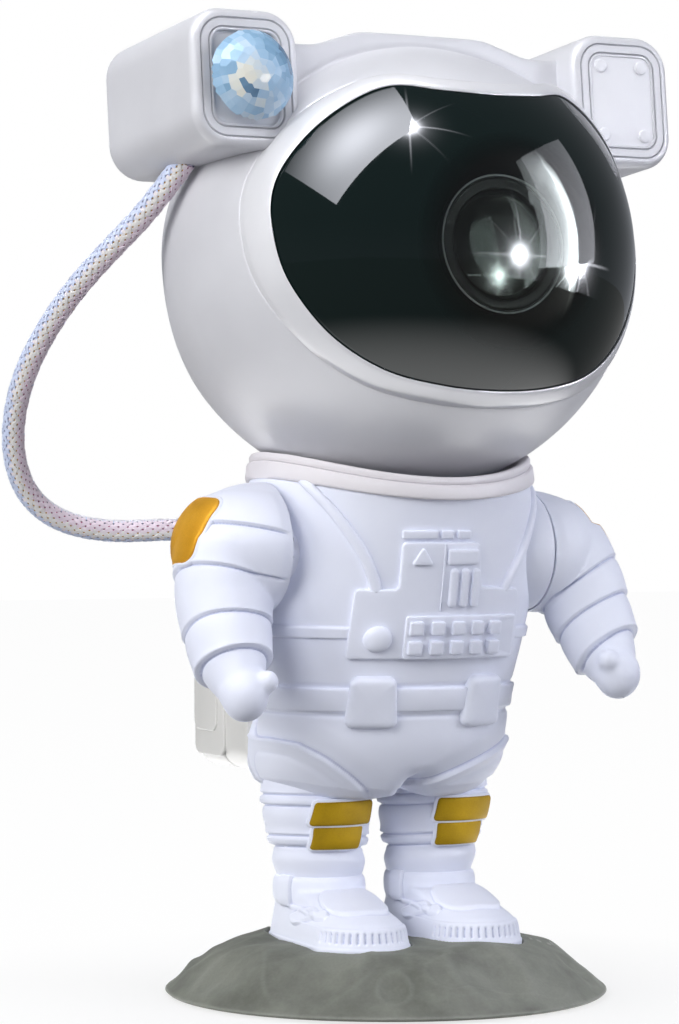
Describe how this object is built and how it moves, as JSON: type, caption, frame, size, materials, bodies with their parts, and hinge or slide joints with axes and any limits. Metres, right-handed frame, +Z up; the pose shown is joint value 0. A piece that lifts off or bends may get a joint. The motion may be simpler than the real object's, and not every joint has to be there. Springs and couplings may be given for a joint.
{
  "type": "planetarium projector",
  "caption": "Desk star and nebula projector shaped as a space-suited figure on a rock base, with a magnetic turning helmet, swinging arms, geared ripple optics and an umbilical cable.",
  "frame": {"origin": "centre of the base's grip pad, on its underside, where it rests on the table", "axes": "+Z up; the figure faces -Y, its left hand is on +X, and the backpack's power inlet faces +Y"},
  "size_m": [0.1456, 0.1157, 0.2259],
  "materials": {
    "rock": "rough rock texture, matt",
    "grip_rubber": "matt",
    "black_plastic": "fine matt",
    "weight_iron": "as cast",
    "screw_steel": "zinc plated",
    "suit_plastic": "satin, cool white",
    "patch_gold": "satin gold ochre",
    "collar_cream": "satin",
    "magnet_plating": "nickel plated",
    "keeper_steel": "plain",
    "pack_plastic": "satin, warm light grey",
    "board_laminate": "solder mask",
    "board_aluminium": "white mask on aluminium",
    "socket_steel": "drawn",
    "gland_plastic": "satin",
    "cable_braid": "woven sleeve with coloured threads",
    "helmet_plastic": "satin to semi-gloss, neutral white",
    "bezel_plastic": "semi-gloss",
    "visor_acrylic": "polished, dark tinted",
    "plate_plastic": "satin",
    "clear_blue": "moulded facets, light blue tint",
    "clear_lens": "polished",
    "lens_ring_black": "satin",
    "motor_steel": "drawn can",
    "sink_aluminium": "machined",
    "gear_acetal": "natural acetal",
    "ripple_clear": "moulded ripples",
    "button_plastic": "satin"
  },
  "bodies": {
    "figure": {"moon_base": "rock", "grip_pad": "grip_rubber", "bottom_cover": "black_plastic", "base_weight": "weight_iron", "base_screws": "screw_steel", "left_boot": "suit_plastic", "right_boot": "suit_plastic", "left_leg": "suit_plastic", "right_leg": "suit_plastic", "left_knee_patch": "patch_gold", "right_knee_patch": "patch_gold", "torso_front": "suit_plastic", "torso_rear": "suit_plastic", "belt": "suit_plastic", "belt_pouches": "suit_plastic", "chest_panel": "suit_plastic", "chest_instruments": "suit_plastic", "neck_collar": "collar_cream", "neck_cup": "black_plastic", "backpack_shell": "pack_plastic", "backpack_cover": "pack_plastic", "pack_screws": "screw_steel", "control_board": "board_laminate", "power_socket": "socket_steel", "pack_cable_gland": "gland_plastic", "cable_lower": "cable_braid"},
    "neck_swivel": {"neck_magnet": "magnet_plating"},
    "head": {"helmet_front": "helmet_plastic", "helmet_rear": "helmet_plastic", "helmet_screws": "screw_steel", "visor": "visor_acrylic", "visor_bezel": "bezel_plastic", "steel_keeper": "keeper_steel", "left_ear_box": "helmet_plastic", "right_ear_box": "helmet_plastic", "left_ear_plate": "plate_plastic", "star_dome": "clear_blue", "star_board": "board_laminate", "nebula_lens": "clear_lens", "lens_ring": "lens_ring_black", "lens_barrel": "black_plastic", "ripple_motor": "motor_steel", "heat_sink": "sink_aluminium", "led_board": "board_aluminium", "optics_bracket": "black_plastic", "head_board": "board_laminate", "ear_cable_gland": "gland_plastic", "cable_upper": "cable_braid"},
    "ripple": {"ripple_wheel": "gear_acetal", "ripple_disc": "ripple_clear"},
    "pinion": {"drive_pinion": "gear_acetal"},
    "left_arm": {"left_arm": "suit_plastic", "left_arm_clip": "black_plastic", "left_shoulder_patch": "patch_gold"},
    "right_arm": {"right_arm": "suit_plastic", "right_arm_clip": "black_plastic", "right_shoulder_patch": "patch_gold"},
    "power_button": {"power_button": "button_plastic"},
    "mode_button": {"mode_button": "button_plastic"},
    "dimmer_button": {"dimmer_button": "button_plastic"}
  },
  "joints": [
    {"name": "head_turn", "type": "hinge", "parent": "figure", "child": "neck_swivel", "pos_m": [0, -0.0051, 0.1126], "axis": [0, 0, 1], "range_deg": [-30, 30], "deforming": ["cable_upper", "cable_lower"]},
    {"name": "head_tilt", "type": "hinge", "parent": "neck_swivel", "child": "head", "pos_m": [0, -0.0051, 0.174], "axis": [0.9976, 0.0698, 0], "range_deg": [-12, 12], "deforming": ["cable_upper", "cable_lower"]},
    {"name": "ripple_spin", "type": "hinge", "parent": "head", "child": "ripple", "pos_m": [0.00172, -0.02969, 0.17096], "axis": [-0.0694, 0.9921, -0.1045], "continuous": true},
    {"name": "pinion_spin", "type": "hinge", "parent": "head", "child": "pinion", "pos_m": [0.00189, -0.0322, 0.14709], "axis": [-0.0694, 0.9921, -0.1045], "continuous": true},
    {"name": "left_arm_swing", "type": "hinge", "parent": "figure", "child": "left_arm", "pos_m": [0.0332, -0.0056, 0.1016], "axis": [1, 0, 0], "range_deg": [-70, 40]},
    {"name": "right_arm_swing", "type": "hinge", "parent": "figure", "child": "right_arm", "pos_m": [-0.0332, -0.0056, 0.1016], "axis": [1, 0, 0], "range_deg": [-70, 40]},
    {"name": "power_press", "type": "slide", "parent": "figure", "child": "power_button", "axis": [0, -1, 0], "range_m": [0, 0.001], "stiffness_N_per_m": 900, "springref_m": -0.0005},
    {"name": "mode_press", "type": "slide", "parent": "figure", "child": "mode_button", "axis": [0, -1, 0], "range_m": [0, 0.001], "stiffness_N_per_m": 900, "springref_m": -0.0005},
    {"name": "dimmer_press", "type": "slide", "parent": "figure", "child": "dimmer_button", "axis": [0, -1, 0], "range_m": [0, 0.001], "stiffness_N_per_m": 900, "springref_m": -0.0005}
  ],
  "couplings": [
    {"joint": "pinion_spin", "follows": "ripple_spin", "ratio": -4}
  ]
}
